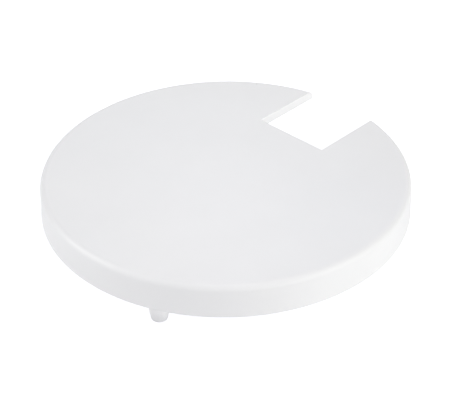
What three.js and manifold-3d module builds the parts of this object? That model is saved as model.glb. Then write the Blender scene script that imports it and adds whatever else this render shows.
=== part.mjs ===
// Round ice-hole cover: a shallow moulded disc with a rectangular line notch in
// its rim and four tapered locating pegs screwed up into bosses under the plate.
// Millimetres, +Z up. The pegs' tips stand on z = 0. The notch opens towards +Y;
// front is -Y and right is +X. The notch takes away part of the rim, so the disc's
// axis stands AXIS_Y from the origin and the part's outline is centred.
import * as THREE from "three";
import { mergeVertices } from "three/addons/utils/BufferGeometryUtils.js";
import Module from "manifold-3d";

const wasm = await Module();
wasm.setup();

// ---------------------------------------------------------------- dimensions
// Lengths are in millimetres, and x and y are measured from the disc's axis.

// Disc
const DISC_R = 114.3; // 9 in across the skirt's bottom rim, for an 8 in hole
const TOP_R = 113.8; // skirt radius under the edge round: the skirt has draft
const DISC_H = 21.3; // top face to the skirt's bottom rim
const EDGE_R = 4.2; // round between the top face and the skirt
const WALL = 3; // plate and skirt thickness
const CORE_R = TOP_R - WALL; // inside of the skirt where it meets the plate
const CORE_ROUND = 2.5; // round between the plate and the inside of the skirt
const AXIS_Y = 1.72; // disc axis from the origin, towards the notch

// Notch
const NOTCH_W = 51.8; // wall to wall
const NOTCH_IN = 60.1; // disc axis to the notch's inner wall
const LIP_H = 6.1; // depth of the lip round the notch, plate included
const RELIEF_W = 88; // width of the skirt's cut-away on the notch side
const RELIEF_DEPTH = 40; // reach of the cut-away inwards from DISC_R

// Ribs
const RIB_T = 2;
const RIB_DROP = 7; // below the plate
const HUB_R = 20; // centre ring, mid-wall
const MID_R = 52; // middle ring, mid-wall
const SPOKE_ANGLES = [0, 45, -45, 70, -70, 95, -95, 148, -148]; // besides those at the pegs

// Pegs: angles are in degrees, anticlockwise from -Y seen from above
const PEG_DROP = 25.4; // tips below the skirt's bottom rim
const PEG_PITCH_R = 91.4; // pegs on one circle, inside an 8 in hole
const PEGS = [
  { name: "front_left", angle: -18.65 },
  { name: "front_right", angle: 18.65 },
  { name: "notch_right", angle: 120 },
  { name: "notch_left", angle: -120 },
];
const SHANK_TOP_R = 7;
const SHANK_FILLET = 1.1; // between the shank and the flange
const FLANGE_R = 16;
const FLANGE_T = 3.2;
const FLANGE_CHAMFER = 0.6;
const FLANGE_HOLE_R = 2.1; // screw holes
const SEAT_GAP = 0.3; // boss to flange, and flange to screw head

// Peg seats
const BOSS_DROP = 5; // screw bosses below the plate
const BOSS_R = 4;
const PILOT_R = 2;
const PILOT_TOP = 1.9; // plastic left above a pilot hole
const COLLAR_R = FLANGE_R + 0.6; // inside of the collar, with clearance
const COLLAR_T = 2;

// Screws
const SCREW_OFFSET = 11.8; // screw axis to peg axis, square to the disc's radius
const SCREW_R = 1.7;
const SCREW_TIP_R = 0.5;
const SCREW_POINT_H = 1.6; // tapered end
const SCREW_END_GAP = 0.5; // tip to the end of the pilot hole
const HEAD_R = 3.5;
const HEAD_H = 2.4;
const RECESS_L = 3.8; // cross recess, tip to tip
const RECESS_W = 0.8;
const RECESS_DEPTH = 1.4;

// Heights
const Z_SKIRT = PEG_DROP;
const Z_TOP = Z_SKIRT + DISC_H;
const Z_PLATE = Z_TOP - WALL; // plate underside
const Z_ROOT = Z_PLATE + 1; // tops of ribs, collars and bosses, sunk into the plate
const Z_LIP = Z_TOP - LIP_H;
const Z_LIP_ROOT = Z_TOP - 1; // top of the lip, sunk into the plate
const Z_RIB = Z_PLATE - RIB_DROP;
const Z_LIP_RIB = Z_LIP + 0.3; // underside of the shallow rib beside the lip
const Z_BOSS = Z_PLATE - BOSS_DROP;
const Z_PILOT = Z_TOP - PILOT_TOP;
const Z_FLANGE_TOP = Z_BOSS - SEAT_GAP;
const Z_FLANGE = Z_FLANGE_TOP - FLANGE_T;
const Z_HEAD = Z_FLANGE - SEAT_GAP; // seating face of a screw head
const Z_HEAD_BOTTOM = Z_HEAD - HEAD_H;
const Z_SCREW_TIP = Z_PILOT - SCREW_END_GAP;

const OVERCUT = 2; // how far cutting tools run past the faces they cut

// Segments round each solid of revolution, and steps along each arc
const SEGMENTS = {
  cover: 96,
  hubRing: 36,
  midRing: 60,
  collar: 32,
  boss: 16,
  hole: 14,
  peg: 28,
  screw: 16,
};
const STEPS = { edge: 7, core: 3, fillet: 4 };

// ------------------------------------------------------------ measured tables
// Outside of a peg from its tip to the skirt's rim: [radius, z]
const PEG_TAPER = [
  [0, 0], [4.2, 0], [4.74, 0.18], [5.06, 0.6], [5.12, 1.2],
  [5.42, 2.6], [5.78, 4.5], [6.08, 6.8], [6.4, 11.5], [6.8, Z_SKIRT],
];

// Tapered bore of a peg, from the flange's top face down: [radius, z]
const PEG_BORE = [[4.2, Z_FLANGE_TOP], [2.7, 7], [0, 6]];

// Domed underside of a screw head: [radius, height above its lowest point]
const HEAD_DOME = [[0, 0], [1.9, 0.12], [3, 0.7], [HEAD_R, 1.6]];

// ------------------------------------------------------------------- helpers
// Turns a three.js geometry into a manifold solid, moved by the matrix.
function solid(geometry, matrix) {
  geometry.deleteAttribute("normal");
  geometry.deleteAttribute("uv");
  geometry.applyMatrix4(matrix);
  const merged = mergeVertices(geometry, 1e-4);
  return new wasm.Manifold(
    new wasm.Mesh({
      numProp: 3,
      vertProperties: new Float32Array(merged.attributes.position.array),
      triVerts: new Uint32Array(merged.index.array),
    }),
  );
}

function geometryOf(manifold) {
  const { vertProperties, triVerts } = manifold.getMesh();
  const geometry = new THREE.BufferGeometry();
  const positions = new THREE.BufferAttribute(new Float32Array(vertProperties), 3);
  geometry.setAttribute("position", positions);
  geometry.setIndex(new THREE.BufferAttribute(new Uint32Array(triVerts), 1));
  geometry.computeVertexNormals();
  return geometry;
}

// A solid of revolution about +Z from [radius, z] points, listed from the axis
// at the bottom, outwards, and back to the axis, or as a closed loop.
function lathe(profile, segments, [x, y] = [0, 0]) {
  const points = profile.map(([radius, z]) => new THREE.Vector2(radius, z));
  const upright = new THREE.Matrix4().makeRotationX(Math.PI / 2);
  const placed = new THREE.Matrix4().makeTranslation(x, y, 0).multiply(upright);
  return solid(new THREE.LatheGeometry(points, segments), placed);
}

function ring(innerR, outerR, z0, z1, segments, place) {
  const profile = [[innerR, z0], [outerR, z0], [outerR, z1], [innerR, z1], [innerR, z0]];
  return lathe(profile, segments, place);
}

function cylinder(radius, z0, z1, segments, place) {
  return lathe([[0, z0], [radius, z0], [radius, z1], [0, z1]], segments, place);
}

function box(x0, x1, y0, y1, z0, z1) {
  return solid(
    new THREE.BoxGeometry(x1 - x0, y1 - y0, z1 - z0),
    new THREE.Matrix4().makeTranslation((x0 + x1) / 2, (y0 + y1) / 2, (z0 + z1) / 2),
  );
}

// [radius, z] points along an arc; degrees run from outwards towards +Z.
function arc(centreR, centreZ, radius, from, to, steps) {
  const points = [];
  for (let i = 0; i <= steps; i++) {
    const angle = THREE.MathUtils.degToRad(from + ((to - from) * i) / steps);
    points.push([centreR + radius * Math.cos(angle), centreZ + radius * Math.sin(angle)]);
  }
  return points;
}

function pegPlace(degrees) {
  const angle = THREE.MathUtils.degToRad(degrees);
  return [PEG_PITCH_R * Math.sin(angle), -PEG_PITCH_R * Math.cos(angle)];
}

// The two screws of a peg, one on each side of it.
function screwPlaces(degrees) {
  const [x, y] = pegPlace(degrees);
  const angle = THREE.MathUtils.degToRad(degrees);
  return [-SCREW_OFFSET, SCREW_OFFSET].map((offset) => [
    x + offset * Math.cos(angle),
    y + offset * Math.sin(angle),
  ]);
}

// --------------------------------------------------------------- cover shell
function makeOuter() {
  const profile = [
    [0, Z_SKIRT],
    [DISC_R, Z_SKIRT],
    ...arc(TOP_R - EDGE_R, Z_TOP - EDGE_R, EDGE_R, 0, 90, STEPS.edge),
    [0, Z_TOP],
  ];
  return lathe(profile, SEGMENTS.cover);
}

function makeCavity() {
  const rimR = DISC_R - WALL;
  const profile = [
    [0, Z_SKIRT - OVERCUT],
    [rimR, Z_SKIRT - OVERCUT],
    [rimR, Z_SKIRT],
    ...arc(CORE_R - CORE_ROUND, Z_PLATE - CORE_ROUND, CORE_ROUND, 0, 90, STEPS.core),
    [0, Z_PLATE],
  ];
  return lathe(profile, SEGMENTS.cover);
}

// Block that leaves a lip round the notch's three walls once the notch is cut.
function makeLip(outer) {
  const halfW = NOTCH_W / 2 + WALL;
  const block = box(-halfW, halfW, NOTCH_IN - WALL, DISC_R + OVERCUT, Z_LIP, Z_LIP_ROOT);
  return block.intersect(outer);
}

// A straight rib from radius r0 to r1, at an angle measured like the pegs'.
function rib(degrees, r0, r1, z0 = Z_RIB) {
  const outwards = new THREE.Matrix4().makeTranslation(0, -(r0 + r1) / 2, (z0 + Z_ROOT) / 2);
  const turned = new THREE.Matrix4()
    .makeRotationZ(THREE.MathUtils.degToRad(degrees))
    .multiply(outwards);
  return solid(new THREE.BoxGeometry(RIB_T, r1 - r0, Z_ROOT - z0), turned);
}

function ringRib(midR, segments) {
  return ring(midR - RIB_T / 2, midR + RIB_T / 2, Z_RIB, Z_ROOT, segments);
}

function addRibs(shell) {
  const spokeAngles = [...SPOKE_ANGLES, ...PEGS.map(({ angle }) => angle)];
  const ribs = [
    ...spokeAngles.map((angle) => rib(angle, HUB_R, CORE_R + WALL / 2)),
    // towards the notch, stepping up past the middle ring
    rib(180, HUB_R, MID_R),
    rib(180, MID_R, NOTCH_IN - WALL / 2, Z_LIP_RIB),
    ringRib(HUB_R, SEGMENTS.hubRing),
    ringRib(MID_R, SEGMENTS.midRing),
  ];
  return ribs.reduce((body, piece) => body.add(piece), shell);
}

// Cuts the spoke back to clear the flange, then adds a collar and two bosses.
function addPegSeat(shell, degrees) {
  const place = pegPlace(degrees);
  const screws = screwPlaces(degrees);
  const clearance = cylinder(COLLAR_R, Z_RIB - OVERCUT, Z_BOSS, SEGMENTS.collar, place);
  const collar = ring(COLLAR_R, COLLAR_R + COLLAR_T, Z_RIB, Z_ROOT, SEGMENTS.collar, place);
  let seated = shell.subtract(clearance).add(collar);
  for (const screw of screws) {
    seated = seated.add(cylinder(BOSS_R, Z_BOSS, Z_ROOT, SEGMENTS.boss, screw));
  }
  for (const screw of screws) {
    const pilot = cylinder(PILOT_R, Z_BOSS - OVERCUT, Z_PILOT, SEGMENTS.hole, screw);
    seated = seated.subtract(pilot);
  }
  return seated;
}

// Cuts away the skirt on the notch side, then the notch through everything.
function cutNotch(shell) {
  const halfW = NOTCH_W / 2;
  const halfRelief = RELIEF_W / 2;
  const bottom = Z_SKIRT - OVERCUT;
  const end = DISC_R + OVERCUT;
  const relief = box(-halfRelief, halfRelief, DISC_R - RELIEF_DEPTH, end, bottom, Z_LIP);
  const notch = box(-halfW, halfW, NOTCH_IN, end, bottom, Z_TOP + OVERCUT);
  return shell.subtract(relief).subtract(notch);
}

function makeShell() {
  const outer = makeOuter();
  let shell = outer.subtract(makeCavity()).add(makeLip(outer));
  shell = addRibs(shell);
  for (const { angle } of PEGS) shell = addPegSeat(shell, angle);
  return cutNotch(shell);
}

// ----------------------------------------------------------- pegs and screws
function makePeg(degrees) {
  const filletR = SHANK_TOP_R + SHANK_FILLET;
  const profile = [
    ...PEG_TAPER,
    ...arc(filletR, Z_FLANGE - SHANK_FILLET, SHANK_FILLET, 180, 90, STEPS.fillet),
    [FLANGE_R - FLANGE_CHAMFER, Z_FLANGE],
    [FLANGE_R, Z_FLANGE + FLANGE_CHAMFER],
    [FLANGE_R, Z_FLANGE_TOP],
    ...PEG_BORE,
  ];
  let peg = lathe(profile, SEGMENTS.peg, pegPlace(degrees));
  const z0 = Z_FLANGE - OVERCUT;
  const z1 = Z_FLANGE_TOP + OVERCUT;
  for (const screw of screwPlaces(degrees)) {
    peg = peg.subtract(cylinder(FLANGE_HOLE_R, z0, z1, SEGMENTS.hole, screw));
  }
  return peg;
}

// Head down, point up, with a cross recess in the head.
function makeScrew([x, y]) {
  const profile = [
    ...HEAD_DOME.map(([radius, height]) => [radius, Z_HEAD_BOTTOM + height]),
    [HEAD_R, Z_HEAD],
    [SCREW_R, Z_HEAD],
    [SCREW_R, Z_SCREW_TIP - SCREW_POINT_H],
    [SCREW_TIP_R, Z_SCREW_TIP],
    [0, Z_SCREW_TIP],
  ];
  const halfL = RECESS_L / 2;
  const halfW = RECESS_W / 2;
  const z0 = Z_HEAD_BOTTOM - OVERCUT;
  const z1 = Z_HEAD_BOTTOM + RECESS_DEPTH;
  return lathe(profile, SEGMENTS.screw, [x, y])
    .subtract(box(x - halfL, x + halfL, y - halfW, y + halfW, z0, z1))
    .subtract(box(x - halfW, x + halfW, y - halfL, y + halfL, z0, z1));
}

// ----------------------------------------------------------------- materials
function material(color, roughness, metalness) {
  return new THREE.MeshStandardMaterial({ color, roughness, metalness });
}

const FINISH = { plastic: 0, metal: 1 }; // metalness
const whitePlastic = material(0xececee, 0.5, FINISH.plastic);
const pegPlastic = material(0xe6e6e6, 0.45, FINISH.plastic);
const steel = material(0xb9bcc0, 0.3, FINISH.metal);

// ------------------------------------------------------------------ assembly
const cover = new THREE.Group();

function addPiece(name, manifold, finish) {
  const mesh = new THREE.Mesh(geometryOf(manifold.translate([0, AXIS_Y, 0])), finish);
  mesh.name = name;
  cover.add(mesh);
}

addPiece("cover_shell", makeShell(), whitePlastic);
for (const { name, angle } of PEGS) {
  addPiece(`peg_${name}`, makePeg(angle), pegPlastic);
  screwPlaces(angle).forEach((place, i) => {
    addPiece(`screw_${name}_${"ab"[i]}`, makeScrew(place), steel);
  });
}

export default cover;
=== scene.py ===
"""A round plastic cover with a notch in its rim, standing on four screwed-on pegs.

The disc lies level with its flat face up (+Z) and its ribbed side down. The peg tips stand on
z = 0, the front is towards -Y and the notch opens towards +Y.
"""
import math

import bmesh
import bpy
from mathutils import Matrix, Vector


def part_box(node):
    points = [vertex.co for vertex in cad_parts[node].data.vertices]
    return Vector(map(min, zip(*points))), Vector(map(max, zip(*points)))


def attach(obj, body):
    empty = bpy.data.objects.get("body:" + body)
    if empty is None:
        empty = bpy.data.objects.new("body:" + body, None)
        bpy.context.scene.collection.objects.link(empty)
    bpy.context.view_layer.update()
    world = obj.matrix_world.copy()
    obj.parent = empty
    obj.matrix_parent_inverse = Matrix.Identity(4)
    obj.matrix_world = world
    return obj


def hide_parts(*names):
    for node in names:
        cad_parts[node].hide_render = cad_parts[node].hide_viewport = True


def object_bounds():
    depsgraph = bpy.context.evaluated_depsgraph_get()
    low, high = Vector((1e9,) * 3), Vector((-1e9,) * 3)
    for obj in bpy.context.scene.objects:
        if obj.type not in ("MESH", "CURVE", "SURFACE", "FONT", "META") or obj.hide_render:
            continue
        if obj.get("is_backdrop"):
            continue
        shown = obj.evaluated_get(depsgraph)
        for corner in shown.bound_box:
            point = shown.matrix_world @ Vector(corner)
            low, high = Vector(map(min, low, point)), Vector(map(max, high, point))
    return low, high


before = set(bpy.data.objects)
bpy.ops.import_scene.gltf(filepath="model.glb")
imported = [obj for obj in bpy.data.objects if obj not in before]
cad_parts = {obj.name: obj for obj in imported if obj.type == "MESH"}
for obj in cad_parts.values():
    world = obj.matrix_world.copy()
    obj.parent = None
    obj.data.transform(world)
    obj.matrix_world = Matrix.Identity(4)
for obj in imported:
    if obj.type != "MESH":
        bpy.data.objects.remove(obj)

low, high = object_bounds()

# ---------------------------------------------------------------- driving sizes
# Pieces are modelled in millimetres about the disc's own axis, from the CAD nodes'
# boxes. finish_piece() turns them into metres and moves them to where the axis stands.
MM = 1000.0


def box_mm(node_name):
    low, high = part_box(node_name)
    return low * MM, high * MM


shell_low, shell_high = box_mm("cover_shell")
SKIRT_R = shell_high.x
AXIS_Y = shell_low.y + SKIRT_R
Z_SKIRT, Z_TOP = shell_low.z, shell_high.z


def centre_from_axis(low, high):
    return (low.x + high.x) / 2, (low.y + high.y) / 2 - AXIS_Y


PEGS = ["front_left", "front_right", "notch_right", "notch_left"]
SIDES = "ab"  # the two screws of each peg
PEG_AT, PEG_TOP, FLANGE_R = {}, {}, {}
SCREW_AT, SCREW_Z = {}, {}
for peg in PEGS:
    low, high = box_mm(f"peg_{peg}")
    PEG_AT[peg] = centre_from_axis(low, high)
    PEG_TOP[peg] = high.z
    FLANGE_R[peg] = (high.x - low.x) / 2
    for side in SIDES:
        low, high = box_mm(f"screw_{peg}_{side}")
        SCREW_AT[peg, side] = centre_from_axis(low, high)
        SCREW_Z[peg, side] = (low.z, high.z)

# Shell: a flat plate with a drafted skirt
WALL = 3.0
TOP_R = 113.8  # outside radius of the skirt just under the rounded top edge
EDGE_R = 4.2  # rounding of the top edge
CORE_R = TOP_R - WALL
SKIRT_INNER_R = SKIRT_R - WALL
Z_PLATE = Z_TOP - WALL  # underside of the plate

# Notch in the rim, the lip round it and the cut-away in the skirt
NOTCH_HALF = 25.9
NOTCH_IN = 60.1  # from the axis to the notch's closed end
NOTCH_CORNER_R = 0.5
NOTCH_EDGE = 0.32
LIP_CORNER_R = 1.6
LIP_H = 6.1
Z_LIP = Z_TOP - LIP_H
RELIEF_HALF = 44.0
RELIEF_CORNER_R = 2.0

# Ribs, in degrees from -Y towards +X, and the two rings that join them
RIB_ANGLES = [0, 45, -45, 70, -70, 95, -95, 148, -148]
HUB_R, MID_R = 20.0, 52.0
HUB_SEGMENTS, MID_SEGMENTS = 120, 200
RIB_HALF_FOOT, RIB_HALF_TIP = 1.0, 0.8
RIB_FILLET, RIB_CORNER = 0.6, 0.35
RIB_DROP = 7.0
Z_RIB = Z_PLATE - RIB_DROP

# Peg seats: a collar round two screw bosses
COLLAR_R, COLLAR_T = 16.6, 2.0
BOSS_R, BOSS_FILLET, BOSS_DROP = 4.0, 0.7, 5.0
Z_BOSS = Z_PLATE - BOSS_DROP
PILOT_R = 2.0
PILOT_LEAD = 0.35
PILOT_TOP = 1.9  # left between the pilot hole's end and the top face

# Round pads: degrees either side of -Y, and the radii they stand at
PADS = {22: (36,), 57: (36, 78), 83: (36, 78), 108: (36,), 134: (36,)}

FLANGE_T = 3.2
SHANK_R = 7.0
SHANK_FILLET = 1.1
PEG_HOLE_R = 2.1

HEAD_R, HEAD_H = 3.5, 2.4
NECK_R, NECK_FILLET = 2.0, 0.3
NECK_LENGTH = 0.9
THREAD_PITCH = 1.41
THREAD_DEPTH = 0.42
THREAD_ROW = 0.11  # greatest spacing aimed at between rows of points
THREAD_LEAD = 0.6  # length over which the thread rises out of the neck
POINT_LENGTH = 2.2
SCREW_SEGMENTS = 40

OVER = 0.5  # how far parts hung from the plate run up into it


# ---------------------------------------------------------------- mesh helpers
def new_object(name, bm):
    bmesh.ops.recalc_face_normals(bm, faces=bm.faces[:])
    mesh = bpy.data.meshes.new(name)
    bm.to_mesh(mesh)
    bm.free()
    ob = bpy.data.objects.new(name, mesh)
    bpy.context.scene.collection.objects.link(ob)
    return ob


def arc(centre_x, centre_y, radius, start, end, steps):
    """Points from start to end, in degrees, both ends included."""
    angles = [math.radians(start + (end - start) * i / steps) for i in range(steps + 1)]
    return [(centre_x + radius * math.cos(a), centre_y + radius * math.sin(a)) for a in angles]


def catmull(points, per):
    """A Catmull-Rom curve through the points, in `per` steps between neighbours."""
    curve = []
    last = len(points) - 1
    for i in range(last):
        before, after = points[max(i - 1, 0)], points[min(i + 2, last)]
        start, end = points[i], points[i + 1]
        for k in range(per):
            t = k / per
            curve.append(
                tuple(
                    0.5
                    * (
                        2 * p1
                        + (p2 - p0) * t
                        + (2 * p0 - 5 * p1 + 4 * p2 - p3) * t * t
                        + (3 * p1 - p0 - 3 * p2 + p3) * t**3
                    )
                    for p0, p1, p2, p3 in zip(before, start, end, after)
                )
            )
    curve.append(points[-1])
    return curve


def tidy(points):
    """Drops points that repeat the one before."""
    kept = []
    for x, y in points:
        if not kept or math.hypot(x - kept[-1][0], y - kept[-1][1]) > 1e-4:
            kept.append((x, y))
    return kept


def mirrored(right):
    """Closes a right-hand half outline with its mirror image."""
    return right + [(-x, z) for x, z in reversed(right)]


def ring_point(centre, radius, i, segments, z):
    angle = 2 * math.pi * i / segments
    return centre[0] + radius * math.cos(angle), centre[1] + radius * math.sin(angle), z


def revolved_rows(bm, profile, segments, centre):
    """One ring of points per (radius, z) station, or a single point on the axis."""
    rows = []
    for radius, z in tidy(profile):
        if radius < 1e-5:
            rows.append([bm.verts.new((*centre, z))])
        else:
            rows.append(
                [
                    bm.verts.new(ring_point(centre, radius, i, segments, z))
                    for i in range(segments)
                ]
            )
    return rows


def skin(bm, row_pairs, segments):
    for a, b in row_pairs:
        for i in range(segments):
            j = (i + 1) % segments
            if len(a) == 1:
                bm.faces.new((a[0], b[i], b[j]))
            elif len(b) == 1:
                bm.faces.new((a[i], b[0], a[j]))
            else:
                bm.faces.new((a[i], b[i], b[j], a[j]))


def lathe(profile, segments, centre=(0.0, 0.0), closed=False, name="tool"):
    """A solid turned about +Z. An open profile starts and ends on the axis; a closed one
    makes a ring."""
    bm = bmesh.new()
    rows = revolved_rows(bm, profile, segments, centre)
    pairs = list(zip(rows, rows[1:]))
    if closed:
        pairs.append((rows[-1], rows[0]))
    skin(bm, pairs, segments)
    return new_object(name, bm)


def prism(section, start, end, angle):
    """An (across, z) section drawn out from start to end along -Y, turned about +Z."""
    turn = Matrix.Rotation(angle, 4, "Z")
    bm = bmesh.new()
    near = [bm.verts.new(turn @ Vector((x, -start, z))) for x, z in section]
    far = [bm.verts.new(turn @ Vector((x, -end, z))) for x, z in section]
    bm.faces.new(near)
    bm.faces.new(list(reversed(far)))
    for i in range(len(section)):
        j = (i + 1) % len(section)
        bm.faces.new((near[i], far[i], far[j], near[j]))
    return new_object("tool", bm)


def loft(levels):
    """Joins (z, outline) levels of equal point count at rising heights, capped at both ends."""
    bm = bmesh.new()
    rows = [[bm.verts.new((x, y, z)) for x, y in outline] for z, outline in levels]
    bm.faces.new(list(reversed(rows[0])))
    bm.faces.new(rows[-1])
    count = len(rows[0])
    for a, b in zip(rows, rows[1:]):
        for i in range(count):
            j = (i + 1) % count
            bm.faces.new((a[i], a[j], b[j], b[i]))
    return new_object("tool", bm)


def notch_loft(stations, half_width, y_inner, y_outer, corner):
    """A block over the notch, its two inner corners rounded. Each (z, offset) station
    grows the outline by its offset."""
    levels = []
    for z, offset in stations:
        half, y, radius = half_width + offset, y_inner - offset, corner + offset
        outline = arc(-half + radius, y + radius, radius, 180, 270, 5)
        outline += arc(half - radius, y + radius, radius, 270, 360, 5)
        outline += [(half, y_outer), (-half, y_outer)]
        levels.append((z, outline))
    return loft(levels)


def boolean(ob, tool, operation):
    """Applies the boolean to the object and deletes the tool."""
    modifier = ob.modifiers.new("b", "BOOLEAN")
    modifier.operation = operation
    modifier.solver = "MANIFOLD"
    modifier.object = tool
    bpy.context.view_layer.update()
    depsgraph = bpy.context.evaluated_depsgraph_get()
    result = bpy.data.meshes.new_from_object(ob.evaluated_get(depsgraph))
    ob.modifiers.remove(modifier)
    old_mesh, tool_mesh = ob.data, tool.data
    ob.data = result
    bpy.data.meshes.remove(old_mesh)
    bpy.data.objects.remove(tool)
    bpy.data.meshes.remove(tool_mesh)


def cut(ob, tool):
    boolean(ob, tool, "DIFFERENCE")


def join(ob, tool):
    boolean(ob, tool, "UNION")


def clean(bm):
    """Clears what the cuts leave: near-double points, hair-thin faces, and points part-way
    along a straight edge."""
    bmesh.ops.remove_doubles(bm, verts=bm.verts[:], dist=1.5e-3)
    bmesh.ops.dissolve_degenerate(bm, edges=bm.edges[:], dist=1e-3)
    spare = []
    for vert in bm.verts:
        if len(vert.link_edges) == 2:
            a, b = [edge.other_vert(vert).co - vert.co for edge in vert.link_edges]
            if a.angle(b, 0.0) > math.pi - 0.02:
                spare.append(vert)
    bmesh.ops.dissolve_verts(bm, verts=spare)


def finish_piece(ob, node_name, material, sharp_angle=32.0):
    """Metres, smooth shading with sharp edges kept, and the piece's place in the assembly."""
    mesh = ob.data
    bm = bmesh.new()
    bm.from_mesh(mesh)
    clean(bm)
    place = Matrix.Scale(1 / MM, 4) @ Matrix.Translation((0, AXIS_Y, 0))
    bmesh.ops.transform(bm, matrix=place, verts=bm.verts[:])
    bm.to_mesh(mesh)
    bm.free()
    mesh.materials.clear()
    mesh.materials.append(material)
    for polygon in mesh.polygons:
        polygon.use_smooth = True
        polygon.material_index = 0
    mesh.set_sharp_from_angle(angle=math.radians(sharp_angle))
    weighted = ob.modifiers.new("weighted", "WEIGHTED_NORMAL")
    weighted.mode = "FACE_AREA"
    weighted.weight = 90
    weighted.keep_sharp = True
    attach(ob, "root")
    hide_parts(node_name)


# ---------------------------------------------------------------- shader helpers
class Graph:
    """A node tree. Wherever a node takes an input, give a value or another node's socket."""

    def __init__(self, owner):
        owner.use_nodes = True
        self.tree = owner.node_tree
        self.tree.nodes.clear()

    def add(self, kind, inputs=None, **settings):
        node = self.tree.nodes.new(kind)
        for name, value in settings.items():
            setattr(node, name, value)
        for key, value in (inputs or {}).items():
            if isinstance(value, bpy.types.NodeSocket):
                self.tree.links.new(value, node.inputs[key])
            else:
                node.inputs[key].default_value = value
        return node

    def maths(self, operation, *values):
        node = self.add("ShaderNodeMath", dict(enumerate(values)), operation=operation)
        return node.outputs[0]

    def vector_maths(self, operation, *values):
        return self.add("ShaderNodeVectorMath", dict(enumerate(values)), operation=operation)

    def mix(self, factor, a, b, data_type="RGBA", blend_type="MIX"):
        inputs = {"Factor": factor, "A": a, "B": b}
        node = self.add("ShaderNodeMix", inputs, data_type=data_type, blend_type=blend_type)
        return node.outputs["Result"]

    def noise(self, vector, scale, detail, roughness=0.5):
        inputs = {"Vector": vector, "Scale": scale, "Detail": detail, "Roughness": roughness}
        return self.add("ShaderNodeTexNoise", inputs).outputs["Fac"]

    def ramp(self, factor, black, white):
        node = self.add("ShaderNodeValToRGB", {"Fac": factor})
        for element, position in zip(node.color_ramp.elements, (black, white)):
            element.position = position
        return node.outputs["Color"]

    def bump(self, height, strength, distance, normal=None):
        inputs = {"Height": height, "Strength": strength, "Distance": distance}
        if normal is not None:
            inputs["Normal"] = normal
        return self.add("ShaderNodeBump", inputs).outputs["Normal"]

    def principled(self, inputs):
        return self.add("ShaderNodeBsdfPrincipled", inputs).outputs["BSDF"]

    def output(self, surface, kind="ShaderNodeOutputMaterial"):
        self.add(kind, {"Surface": surface})


# -------------------------------------------------------------------- materials
def moulded_plastic(name, base, rough, grain=1.0, specks=True, tip=None):
    """Matte moulded plastic: fine grain, faint clouds, scuffs, rare specks and worn edges.
    A tip colour darkens the lowest part of the piece: painted shade near the floor."""
    material = bpy.data.materials.new(name)
    graph = Graph(material)
    maths, mix, ramp = graph.maths, graph.mix, graph.ramp
    place = graph.add("ShaderNodeTexCoord").outputs["Object"]

    def noise(scale, detail, roughness=0.55):
        return graph.noise(place, scale, detail, roughness)

    # pigment clouds, then a fainter warm drift
    clouds = ramp(noise(scale=22.0, detail=4.0), black=0.3, white=0.7)
    dusky = [channel * 0.98 for channel in base]
    colour = mix(clouds, a=(*dusky, 1), b=(*base, 1))
    drift = ramp(noise(scale=7.0, detail=2.0), black=0.35, white=0.75)
    colour = mix(drift, a=colour, b=(1.0, 0.996, 0.987, 1), blend_type="MULTIPLY")

    if specks:
        # a small dark dot at the heart of a few cells
        cells = graph.add("ShaderNodeTexVoronoi", {"Vector": place, "Scale": 85.0})
        small = maths("LESS_THAN", cells.outputs["Distance"], 0.034)
        channels = graph.add("ShaderNodeSeparateColor", {"Color": cells.outputs["Color"]})
        rare = maths("GREATER_THAN", channels.outputs["Red"], 0.955)
        spot = maths("MULTIPLY", maths("MULTIPLY", small, rare), 0.5)
        colour = mix(spot, a=colour, b=(0.22, 0.21, 0.2, 1))

    if tip is not None:
        # painted shade: the tip colour darkens the bottom of the piece, with an uneven edge,
        # fading out up the shank (metres)
        axes = graph.add("ShaderNodeSeparateXYZ", {"Vector": place})
        unevenness = maths("MULTIPLY", noise(scale=420.0, detail=3.0), 0.0014)
        fade = graph.add(
            "ShaderNodeMapRange",
            {
                "Value": maths("ADD", axes.outputs["Z"], unevenness),
                "From Min": -0.002,
                "From Max": 0.0105,
            },
            interpolation_type="SMOOTHSTEP",
        )
        # painted shade: the tip colour at the bottom, the piece's own colour higher up
        colour = mix(fade.outputs["Result"], a=(*tip, 1), b=colour)

    # edges show where the rounded normal leaves the true one; they are rubbed duller
    bevel = graph.add("ShaderNodeBevel", {"Radius": 0.0006}, samples=4)
    geometry = graph.add("ShaderNodeNewGeometry")
    agreement = graph.vector_maths(
        "DOT_PRODUCT", bevel.outputs["Normal"], geometry.outputs["Normal"]
    )
    edge = maths("SUBTRACT", 1.0, agreement.outputs["Value"])
    edge = maths("MINIMUM", maths("MULTIPLY", edge, 9.0), 1.0)
    edge = maths("MULTIPLY", edge, noise(scale=160.0, detail=3.0))
    worn = [channel * 0.93 for channel in base]
    colour = mix(maths("MULTIPLY", edge, 0.35), a=colour, b=(*worn, 1))

    # satin sheen that varies, duller in smears and along edges
    smears = ramp(noise(scale=14.0, detail=5.0, roughness=0.65), black=0.42, white=0.6)
    fine = maths("MULTIPLY", noise(scale=310.0, detail=3.0), 0.06)
    roughness = maths("ADD", fine, rough - 0.03)
    roughness = maths("ADD", roughness, maths("MULTIPLY", smears, 0.05))
    roughness = maths("ADD", roughness, maths("MULTIPLY", edge, 0.12))

    # fine grain, a coarser grain, then a very slight waviness
    normal = graph.bump(
        noise(scale=2300.0, detail=2.0, roughness=0.6), strength=0.16 * grain, distance=0.00009
    )
    normal = graph.bump(
        noise(scale=260.0, detail=3.0, roughness=0.5),
        strength=0.10 * grain,
        distance=0.0006,
        normal=normal,
    )
    normal = graph.bump(
        noise(scale=24.0, detail=1.0, roughness=0.4), strength=0.10, distance=0.002, normal=normal
    )
    graph.output(
        graph.principled(
            {"Base Color": colour, "Roughness": roughness, "IOR": 1.5, "Normal": normal}
        )
    )
    return material


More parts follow.
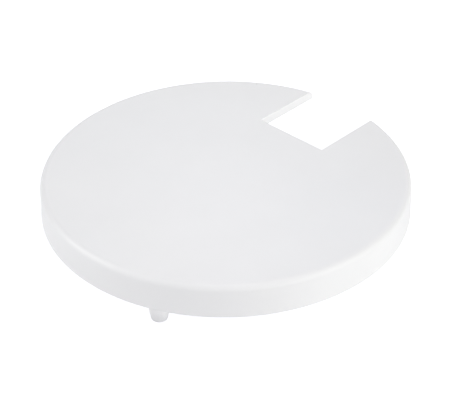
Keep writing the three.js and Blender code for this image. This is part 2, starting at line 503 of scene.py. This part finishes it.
def screw_steel(name):
    """Bright steel, finely mottled, with painted shade in the hollows."""
    material = bpy.data.materials.new(name)
    graph = Graph(material)
    place = graph.add("ShaderNodeTexCoord").outputs["Object"]
    fine = graph.noise(place, scale=900.0, detail=4.0)
    broad = graph.noise(place, scale=260.0, detail=2.0)
    metal = graph.mix(broad, a=(0.50, 0.505, 0.52, 1), b=(0.70, 0.705, 0.715, 1))
    # painted shade: the colour darkens where the ambient-occlusion node finds the surface enclosed
    openness = graph.add("ShaderNodeAmbientOcclusion", {"Distance": 0.0012}, samples=4)
    colour = graph.mix(openness.outputs["AO"], a=(0.16, 0.155, 0.15, 1), b=metal)
    roughness = graph.add("ShaderNodeMapRange", {"Value": fine, "To Min": 0.22, "To Max": 0.42})
    graph.output(
        graph.principled(
            {
                "Base Color": colour,
                "Metallic": 1.0,
                "Roughness": roughness.outputs["Result"],
                "Normal": graph.bump(fine, strength=0.2, distance=0.00005),
            }
        )
    )
    return material


PLASTIC = moulded_plastic("cover_plastic", base=(0.815, 0.817, 0.826), rough=0.36)
# The pegs' plastic is paler than the cover's: painted light that offsets the shade under the
# skirt. Its tip colour is painted shade near the floor.
PEG_PLASTIC = moulded_plastic(
    "peg_plastic",
    base=(0.905, 0.905, 0.912),
    rough=0.42,
    grain=0.7,
    specks=False,
    tip=(0.72, 0.72, 0.727),
)
STEEL = screw_steel("screw_steel")


# ------------------------------------------------------------------ cover shell
SHELL_SEGMENTS = 288


def shell_outside():
    """The shell's outer form as a solid disc."""
    profile = [(0, Z_SKIRT), (40, Z_SKIRT), (SKIRT_INNER_R - 6, Z_SKIRT), (SKIRT_R - 0.9, Z_SKIRT)]
    profile += arc(SKIRT_R - 0.4, Z_SKIRT + 0.4, 0.4, -90, 0, 3)
    profile += [(SKIRT_R - 0.02, Z_SKIRT + 0.9), (TOP_R + 0.02, Z_TOP - EDGE_R - 0.6)]
    profile += arc(TOP_R - EDGE_R, Z_TOP - EDGE_R, EDGE_R, 1.5, 90, 20)
    profile += [(TOP_R - EDGE_R - 0.6, Z_TOP), (60, Z_TOP), (0, Z_TOP)]
    return lathe(profile, SHELL_SEGMENTS, name="cover_shell_fine")


def shell_cavity():
    """The hollow under the plate; what is cut out of it is left standing in the shell."""
    inner, rim, corner = SKIRT_INNER_R, 0.4, 2.5
    profile = [
        (0, Z_SKIRT - 3),
        (inner + 2 * rim, Z_SKIRT - 3),
        (inner + 2 * rim, Z_SKIRT - rim),
    ]
    profile += arc(inner + rim, Z_SKIRT, rim, 0, 90, 3)[1:]
    profile += [(inner - 0.02, Z_SKIRT + 0.9), (CORE_R + 0.02, Z_PLATE - 3.0)]
    profile += arc(CORE_R - corner, Z_PLATE - corner, corner, 1.5, 90, 8)
    profile += [(CORE_R - 3.0, Z_PLATE), (0, Z_PLATE)]
    return lathe(profile, SHELL_SEGMENTS)


def rib_section(z_tip):
    """A rib hung from the plate: a filleted foot, draft, and rounded tip corners."""
    foot = RIB_HALF_FOOT + RIB_FILLET
    right = [(foot, Z_PLATE + OVER)]
    right += arc(foot, Z_PLATE - RIB_FILLET, RIB_FILLET, 90, 180, 4)
    right += arc(RIB_HALF_TIP - RIB_CORNER, z_tip + RIB_CORNER, RIB_CORNER, 0, -90, 3)
    return tidy(mirrored(right))


def rib_lattice():
    """Two rings and the ribs between them and the skirt, cut back at the peg seats."""
    section = rib_section(Z_RIB)

    def ring(radius, segments):
        return lathe([(radius + x, z) for x, z in section], segments, closed=True)

    ribs = ring(HUB_R, HUB_SEGMENTS)
    join(ribs, ring(MID_R, MID_SEGMENTS))
    angles = [math.radians(angle) for angle in RIB_ANGLES]
    angles += [math.atan2(x, -y) for x, y in PEG_AT.values()]
    for angle in angles:
        join(ribs, prism(section, HUB_R, SKIRT_INNER_R + 1.2, angle))

    # the rib towards the notch steps up past the middle ring, to end behind the lip
    join(ribs, prism(section, HUB_R, MID_R, math.pi))
    join(ribs, prism(rib_section(Z_LIP + 0.3), MID_R, NOTCH_IN - 1.5, math.pi))

    pocket = [(0, Z_RIB - 2), (COLLAR_R, Z_RIB - 2), (COLLAR_R, Z_BOSS), (0, Z_BOSS)]
    for centre in PEG_AT.values():
        cut(ribs, lathe(pocket, 72, centre))
    return ribs


def leave_peg_seats(cavity):
    """A collar and two screw bosses for each peg."""
    outer = COLLAR_R + COLLAR_T
    collar = [
        (COLLAR_R, Z_PLATE + OVER),
        (COLLAR_R, Z_RIB + 0.45),
        (COLLAR_R + 0.35, Z_RIB),
        (outer - 0.45, Z_RIB),
        (outer - 0.1, Z_RIB + 0.4),
        (outer, Z_PLATE - 0.6),
        (outer + 0.18, Z_PLATE - 0.18),
        (outer + 0.6, Z_PLATE),
        (outer + 0.6, Z_PLATE + OVER),
    ]
    foot = BOSS_R + BOSS_FILLET
    boss = [(0, Z_BOSS), (BOSS_R - 0.5, Z_BOSS)]
    boss += arc(BOSS_R - 0.3, Z_BOSS + 0.3, 0.3, -90, 0, 2)
    boss += [(BOSS_R, Z_PLATE - BOSS_FILLET)]
    boss += arc(foot, Z_PLATE - BOSS_FILLET, BOSS_FILLET, 180, 90, 3)
    boss += [(foot, Z_PLATE + OVER), (0, Z_PLATE + OVER)]
    for peg in PEGS:
        cut(cavity, lathe(collar, 72, PEG_AT[peg], closed=True))
        for side in SIDES:
            cut(cavity, lathe(boss, 40, SCREW_AT[peg, side]))


def leave_lip(cavity):
    """The lip round the notch, with a fillet where it meets the plate."""
    stations = [  # z, offset
        (Z_LIP, -0.3),
        (Z_LIP + 0.09, -0.09),
        (Z_LIP + 0.3, 0.0),
        (Z_PLATE - 0.8, 0.05),
        (Z_PLATE - 0.23, 0.28),
        (Z_PLATE, 0.8),
        (Z_PLATE + 0.6, 0.8),
    ]
    half, y_inner = NOTCH_HALF + WALL, NOTCH_IN - WALL
    cut(cavity, notch_loft(stations, half, y_inner, SKIRT_R + 12, LIP_CORNER_R))


def leave_pads_and_gate(cavity):
    """Ejector-pin pads on the plate's underside and the gate's stub at the centre."""
    pad = [
        (0, Z_PLATE - 0.28),
        (2.8, Z_PLATE - 0.28),
        (3.0, Z_PLATE - 0.2),
        (3.1, Z_PLATE + 0.3),
        (0, Z_PLATE + 0.3),
    ]
    for degrees, radii in PADS.items():
        for angle in (math.radians(degrees), math.radians(-degrees)):
            for radius in radii:
                centre = (radius * math.sin(angle), -radius * math.cos(angle))
                cut(cavity, lathe(pad, 32, centre))
    gate = [
        (0, Z_PLATE - 1.3),
        (0.8, Z_PLATE - 1.25),
        (1.15, Z_PLATE - 0.9),
        (1.6, Z_PLATE - 0.4),
        (2.6, Z_PLATE),
        (2.6, Z_PLATE + 0.3),
        (0, Z_PLATE + 0.3),
    ]
    cut(cavity, lathe(gate, 32))


def drill_pilot_holes(shell):
    """Blind holes up the bosses, each with a small lead-in."""
    pilot = [
        (0, Z_BOSS - 1),
        (PILOT_R + PILOT_LEAD, Z_BOSS - 1),
        (PILOT_R + PILOT_LEAD, Z_BOSS),
        (PILOT_R, Z_BOSS + PILOT_LEAD),
        (PILOT_R, Z_TOP - PILOT_TOP),
        (0, Z_TOP - PILOT_TOP + 0.2),
    ]
    for centre in SCREW_AT.values():
        cut(shell, lathe(pilot, 32, centre))


def cut_skirt_relief(shell):
    """The skirt's cut-away at the notch: a block with rounded upper corners."""
    half, corner = RELIEF_HALF, RELIEF_CORNER_R
    right = [(half, Z_SKIRT - 4), (half, Z_SKIRT + 0.5)]
    right += arc(half - corner, Z_LIP - corner, corner, 0, 90, 5)
    cut(shell, prism(mirrored(right), SKIRT_R - 40, SKIRT_R + 8, math.pi))


def cut_notch(shell):
    """The notch, its edges eased at the top face and under the lip."""
    edge = NOTCH_EDGE
    stations = [  # z, offset
        (Z_SKIRT - 5, 1.0),
        (Z_LIP - 0.02, 0.34),
        (Z_LIP + 0.08, 0.12),
        (Z_LIP + 0.3, 0.0),
        (Z_TOP - edge, 0.0),
        (Z_TOP - edge * 0.62, edge * 0.08),
        (Z_TOP - edge * 0.29, edge * 0.29),
        (Z_TOP - edge * 0.08, edge * 0.62),
        (Z_TOP, edge),
        (Z_TOP + 3, edge + 1.0),
    ]
    cut(shell, notch_loft(stations, NOTCH_HALF, NOTCH_IN, SKIRT_R + 15, NOTCH_CORNER_R))


def build_shell():
    shell = shell_outside()
    cavity = shell_cavity()
    cut(cavity, rib_lattice())
    leave_peg_seats(cavity)
    leave_lip(cavity)
    leave_pads_and_gate(cavity)
    cut(shell, cavity)
    drill_pilot_holes(shell)
    cut_skirt_relief(shell)
    cut_notch(shell)
    finish_piece(shell, "cover_shell", PLASTIC)


# ------------------------------------------------------------------------- pegs
def build_peg(peg):
    """A tapered peg, hollow from above, with a flange that takes two screws."""
    top, flange_r = PEG_TOP[peg], FLANGE_R[peg]
    z_flange = top - FLANGE_T
    z_fillet = z_flange - SHANK_FILLET
    shank = [  # radius, z
        (5.12, 1.2),
        (5.42, 2.6),
        (5.78, 4.5),
        (6.08, 6.8),
        (6.4, 11.5),
        (6.8, Z_SKIRT),
        (SHANK_R, z_fillet),
    ]
    # the dished tip and its rounded edge, then up the shank
    profile = [(0, 0.12), (2.2, 0.12), (2.5, 0.0), (3.9, 0.0)]
    profile += arc(4.2, 0.9, 0.9, -90, -8, 6)
    profile += catmull(shank, 5)
    # out along the flange's underside and round its rim
    profile += arc(SHANK_R + SHANK_FILLET, z_fillet, SHANK_FILLET, 180, 90, 6)[1:]
    profile += [(flange_r - 1.0, z_flange)]
    profile += arc(flange_r - 0.6, z_flange + 0.6, 0.6, -90, 0, 4)
    profile += arc(flange_r - 0.25, top - 0.25, 0.25, 0, 90, 2)
    # down the hollow
    profile += [(4.6, top), (4.2, top - 0.4), (2.7, 7.4), (2.0, 6.3), (0, 6.0)]
    ob = lathe(profile, 96, PEG_AT[peg], name=f"peg_{peg}_fine")

    hole = [
        (0, z_flange - 1),
        (PEG_HOLE_R + 0.35, z_flange - 1),
        (PEG_HOLE_R + 0.35, z_flange),
        (PEG_HOLE_R, z_flange + 0.35),
        (PEG_HOLE_R, top - 0.3),
        (PEG_HOLE_R + 0.3, top),
        (PEG_HOLE_R + 0.3, top + 1),
        (0, top + 1),
    ]
    for side in SIDES:
        cut(ob, lathe(hole, 40, SCREW_AT[peg, side]))
    finish_piece(ob, f"peg_{peg}", PEG_PLASTIC)


# ----------------------------------------------------------------------- screws
# Domed head: radius, height above its lowest point
HEAD_DOME = [
    (0, 0), (1.0, 0.03), (1.9, 0.12), (2.6, 0.38), (3.1, 0.78), (3.4, 1.3), (HEAD_R, 1.75),
]
# Arm of the cross recess: height, half width, half length
RECESS_ARM = [(-1, 0.55, 2.15), (0, 0.5, 2.0), (1.25, 0.3, 1.05)]
# Cone in the middle of the recess: radius, height
RECESS_CONE = [(0, -1), (1.0, -1), (0.85, 0.2), (0.45, 1.3), (0, 1.6)]
# The recess of each screw is turned on from the last, in degrees
FIRST_TURN, TURN_STEP = 17, 61


def head_profile(z_head):
    z_seat = z_head + HEAD_H
    profile = catmull([(radius, z_head + height) for radius, height in HEAD_DOME], 3)
    profile += [(HEAD_R, z_seat - 0.25), (HEAD_R - 0.12, z_seat - 0.06), (HEAD_R - 0.4, z_seat)]
    profile += [(NECK_R, z_seat)]
    profile += arc(NECK_R, z_seat + NECK_FILLET, NECK_FILLET, -90, -180, 2)[1:]
    return profile


def thread_radius(z, i, start, stop):
    """Radius of point i round the shank: a tapering core with the thread wound into it."""
    turn = (z / THREAD_PITCH - i / SCREW_SEGMENTS) % 1.0
    crest = max(0.0, 1 - abs(turn - 0.5) / 0.24)
    lead = min(1.0, (z - start) / THREAD_LEAD)
    point = min(1.0, (stop - z) / POINT_LENGTH)
    core = 0.35 + point**0.8
    return core + THREAD_DEPTH * crest * lead * min(1.0, 0.25 + point)


def recess_arm(centre, z_head, turn):
    c, s = math.cos(turn), math.sin(turn)
    levels = []
    for height, half, length in RECESS_ARM:
        corners = [(-length, -half), (length, -half), (length, half), (-length, half)]
        outline = [(centre[0] + c * x - s * y, centre[1] + s * x + c * y) for x, y in corners]
        levels.append((z_head + height, outline))
    return loft(levels)


def build_screw(peg, side):
    """A pan-head screw, head down, its threaded shank pointing up."""
    z_head, z_point = SCREW_Z[peg, side]
    centre = SCREW_AT[peg, side]
    bm = bmesh.new()
    rows = revolved_rows(bm, head_profile(z_head), SCREW_SEGMENTS, centre)
    start = z_head + HEAD_H + NECK_LENGTH
    steps = int((z_point - start) / THREAD_ROW)
    for step in range(steps + 1):
        z = start + (z_point - start) * step / steps
        row = []
        for i in range(SCREW_SEGMENTS):
            radius = thread_radius(z, i, start, z_point)
            row.append(bm.verts.new(ring_point(centre, radius, i, SCREW_SEGMENTS, z)))
        rows.append(row)
    rows.append([bm.verts.new((*centre, z_point))])
    skin(bm, zip(rows, rows[1:]), SCREW_SEGMENTS)
    screw = new_object(f"screw_{peg}_{side}_fine", bm)

    number = list(SCREW_AT).index((peg, side))
    turn = math.radians(FIRST_TURN + TURN_STEP * number)
    cut(screw, recess_arm(centre, z_head, turn))
    cut(screw, recess_arm(centre, z_head, turn + math.pi / 2))
    cone = [(radius, z_head + height) for radius, height in RECESS_CONE]
    cut(screw, lathe(cone, 24, centre))
    finish_piece(screw, f"screw_{peg}_{side}", STEEL, sharp_angle=38.0)


build_shell()
for peg in PEGS:
    build_peg(peg)
    for side in SIDES:
        build_screw(peg, side)

# ------------------------------------------------------------------------ floor
FLOOR_SIZE = 12.0  # metres
FLOOR_DROP = 0.0001  # keeps it just clear of the peg tips
FLOOR_GLOW = 0.511  # emission that lights the object
FLOOR_LIFT = 0.29  # extra emission seen by the camera alone


def floor_white():
    """Pale and faintly glowing, as a lit sweep is; clear to a camera beneath it."""
    material = bpy.data.materials.new("floor_white")
    graph = Graph(material)
    camera_ray = graph.add("ShaderNodeLightPath").outputs["Is Camera Ray"]
    backfacing = graph.add("ShaderNodeNewGeometry").outputs["Backfacing"]
    white = graph.principled(
        {
            "Base Color": (0.42, 0.42, 0.42, 1),
            "Roughness": 0.9,
            "Specular IOR Level": 0.0,
            "Emission Color": (1.0, 1.0, 1.049, 1),
            "Emission Strength": FLOOR_GLOW,
        }
    )
    glow = graph.maths("MULTIPLY_ADD", camera_ray, FLOOR_LIFT, FLOOR_GLOW)
    graph.tree.links.new(glow, white.node.inputs["Emission Strength"])
    from_beneath = graph.maths("MULTIPLY", backfacing, camera_ray)
    clear = graph.add("ShaderNodeBsdfTransparent").outputs["BSDF"]
    surface = graph.add("ShaderNodeMixShader", {"Fac": from_beneath, 1: white, 2: clear})
    graph.output(surface.outputs["Shader"])
    return material


floor_bm = bmesh.new()
bmesh.ops.create_grid(floor_bm, x_segments=1, y_segments=1, size=FLOOR_SIZE)
floor = new_object("floor", floor_bm)
floor.location.z = -FLOOR_DROP
floor.data.materials.append(floor_white())
floor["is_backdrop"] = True

# ------------------------------------------------------------------------ light
# Azimuths are in degrees from the camera's own: 0 is behind it and 90 is to its right.
CAMERA_AZIMUTH = 44.38
BACKDROP = (1.05, 1.05, 1.05)  # what the camera itself sees behind the object

# Broad soft boxes: azimuth, elevation, sharpness, strength, strength in blue
BOXES = [
    (-90, 30, 16, 3.02, 3.028),
    (0, 90, 4, 0.45, 0.492),
    (180, 10, 4, 0.758, 0.795),
    (45, 10, 4, 1.463, 1.47),
    (60, 40, 16, 1.224, 1.102),
    (60, 50, 4, 0.214, 0.192),
    (-100, 28, 40, 2.032, 2.019),
    (-80, 28, 40, 1.192, 1.253),
    (130, 8, 40, 0.108, 0.097),
    (150, 30, 40, 1.479, 1.565),
    (20, 15, 40, 0.899, 1.007),
    (50, 28, 40, 0.162, 0.146),
    (50, 8, 40, 1.088, 1.1),
    (65, 28, 40, 0.822, 0.74),
    (65, 8, 40, 1.148, 1.033),
    (80, 28, 40, 0.878, 0.79),
    (80, 8, 40, 1.156, 1.041),
    (95, 8, 40, 0.237, 0.213),
]
# Small lamps, in metres and watts: azimuth, distance out from the origin, height above
# the top face, width, power, power in blue
LAMPS = [
    (-80, 0.5, 0.15, 0.25, 0.2789, 0.251),
    (0, 0.12, 0.25, 0.15, 0.083, 0.0925),
    (180, 0.35, 0.3, 0.2, 0.1082, 0.1088),
    (80, 0.5, 0.15, 0.25, 0.0397, 0.0357),
]
LAMP_TARGET = Vector((0, 0, 0.03))


def direction(azimuth, elevation):
    a, e = math.radians(CAMERA_AZIMUTH + azimuth), math.radians(elevation)
    return (math.sin(a) * math.cos(e), -math.cos(a) * math.cos(e), math.sin(e))


def build_world():
    """The soft boxes added together, hidden from the camera by a plain white backdrop."""
    world = bpy.data.worlds.new("studio")
    graph = Graph(world)
    ray = graph.add("ShaderNodeTexCoord").outputs["Generated"]
    total = (0.0, 0.0, 0.0)
    for azimuth, elevation, sharpness, strength, blue in BOXES:
        facing = graph.vector_maths("DOT_PRODUCT", ray, direction(azimuth, elevation))
        falloff = graph.maths("MAXIMUM", facing.outputs["Value"], 0.0)
        falloff = graph.maths("POWER", falloff, sharpness)
        tint = (strength, strength, blue)
        total = graph.vector_maths("MULTIPLY_ADD", falloff, tint, total).outputs["Vector"]
    camera_ray = graph.add("ShaderNodeLightPath").outputs["Is Camera Ray"]
    colour = graph.mix(camera_ray, a=total, b=BACKDROP, data_type="VECTOR")
    background = graph.add("ShaderNodeBackground", {"Color": colour})
    graph.output(background.outputs["Background"], kind="ShaderNodeOutputWorld")
    return world


def build_lamp(name, azimuth, out, height, width, watts, blue):
    light = bpy.data.lights.new(name, "AREA")
    lamp = bpy.data.objects.new(name, light)
    scene.collection.objects.link(lamp)
    lamp.visible_camera = False
    x, y, _ = direction(azimuth, 0)
    lamp.location = (x * out, y * out, Z_TOP / MM + height)
    aim = LAMP_TARGET - lamp.location
    lamp.rotation_euler = aim.to_track_quat("-Z", "Y").to_euler()
    light.shape = "DISK"
    light.size = width
    light.energy = watts
    light.color = (1.0, 1.0, blue / watts)


scene = bpy.context.scene
scene.world = build_world()
for i, lamp_values in enumerate(LAMPS):
    build_lamp(f"lamp_{i}", *lamp_values)

scene.view_settings.view_transform = "Standard"
scene.view_settings.look = "None"
scene.view_settings.exposure = 0.0
scene.view_settings.gamma = 1.0

# ----------------------------------------------------------------------- camera
CAMERA_ELEVATION, CAMERA_ROLL = 34.839, -0.659  # degrees
CAMERA_DISTANCE = 933.2738  # mm from the middle of the skirt's lower rim
CAMERA_LEFT, CAMERA_UP = 0.510812, 0.0516412  # mm it stands off that line, before the roll
LENS, SENSOR_WIDTH = 120.0, 36.0


def build_camera():
    azimuth, elevation = math.radians(CAMERA_AZIMUTH), math.radians(CAMERA_ELEVATION)
    right = Vector((math.cos(azimuth), math.sin(azimuth), 0))
    back = Vector(
        (
            math.sin(azimuth) * math.cos(elevation),
            -math.cos(azimuth) * math.cos(elevation),
            math.sin(elevation),
        )
    )
    up = back.cross(right)
    offset = -CAMERA_LEFT * right + CAMERA_UP * up + CAMERA_DISTANCE * back
    eye = Vector((0, AXIS_Y / MM, Z_SKIRT / MM)) + offset / MM
    c, s = math.cos(math.radians(CAMERA_ROLL)), math.sin(math.radians(CAMERA_ROLL))
    rolled_right, rolled_up = c * right + s * up, -s * right + c * up

    data = bpy.data.cameras.new("camera")
    camera = bpy.data.objects.new("camera", data)
    scene.collection.objects.link(camera)
    data.sensor_fit = "HORIZONTAL"
    data.sensor_width = SENSOR_WIDTH
    data.lens = LENS
    data.clip_start = 0.01
    data.clip_end = 100.0
    rows = [list(row) for row in zip(rolled_right, rolled_up, back, eye)]
    camera.matrix_world = Matrix(rows + [[0, 0, 0, 1]])
    return camera


scene.camera = build_camera()

low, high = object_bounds()
